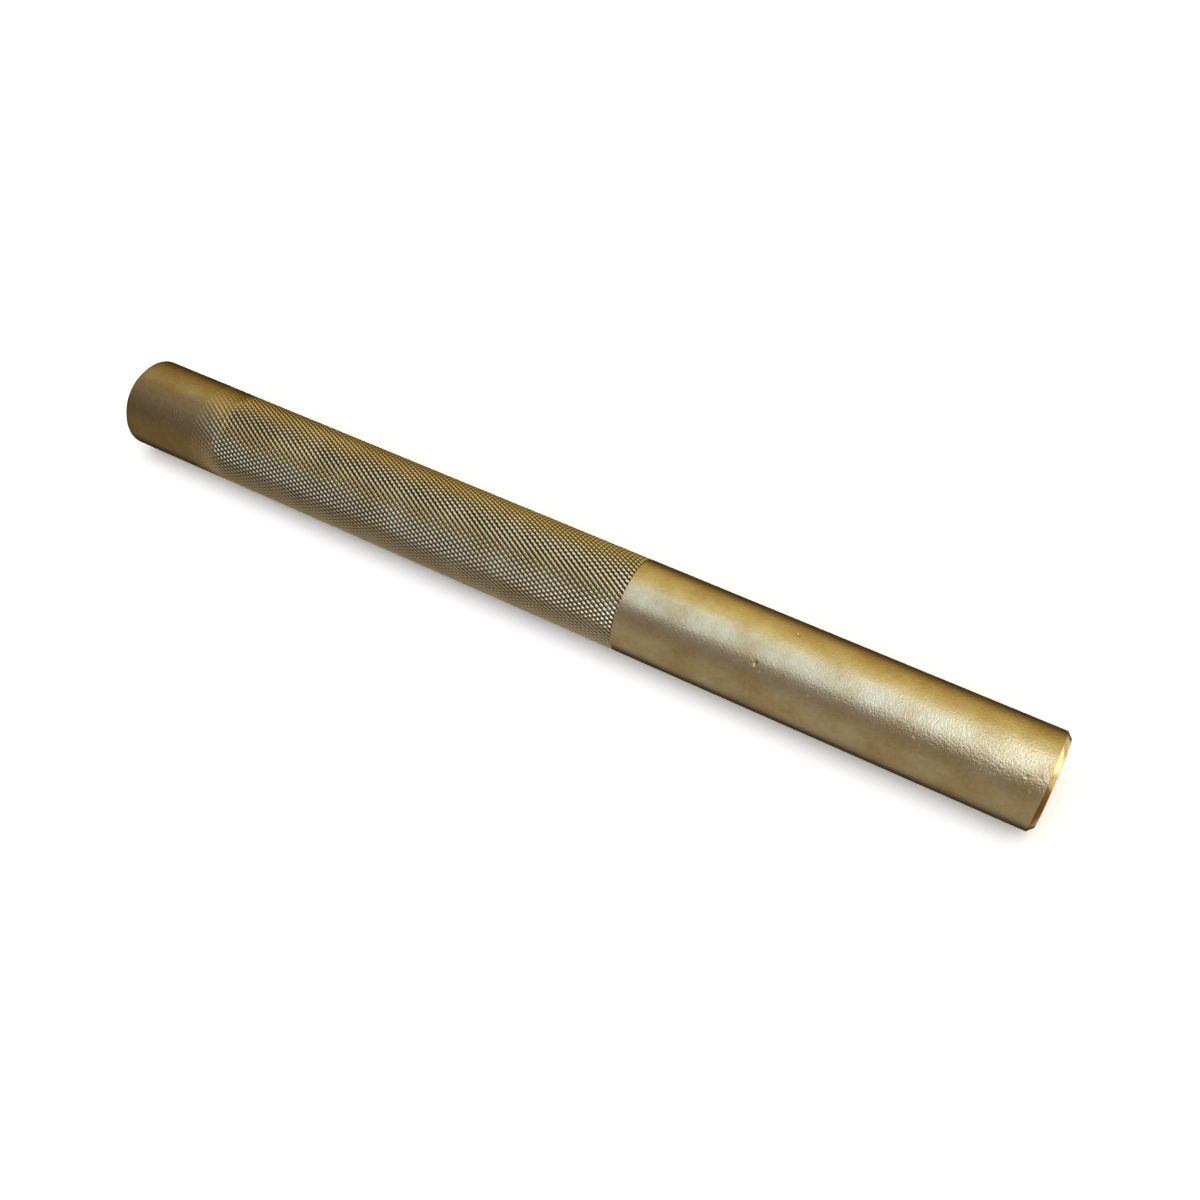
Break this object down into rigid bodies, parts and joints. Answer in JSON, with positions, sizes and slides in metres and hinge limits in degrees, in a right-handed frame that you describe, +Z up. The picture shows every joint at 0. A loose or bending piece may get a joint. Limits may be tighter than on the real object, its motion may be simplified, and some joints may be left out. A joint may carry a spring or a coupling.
{
  "type": "drift punch",
  "caption": "Straight brass drift punch with a diamond-knurled grip, a plain shank and chamfered ends.",
  "frame": {"origin": "under the middle of the punch, on the surface that it lies on", "axes": "+X along the bar towards the working face, +Z up"},
  "size_m": [0.2032, 0.019, 0.0191],
  "materials": {
    "brass_bar": "bare turned brass with a rolled diamond knurl, lightly tarnished"
  },
  "bodies": {
    "root": {"drift_punch": "brass_bar"}
  },
  "joints": []
}
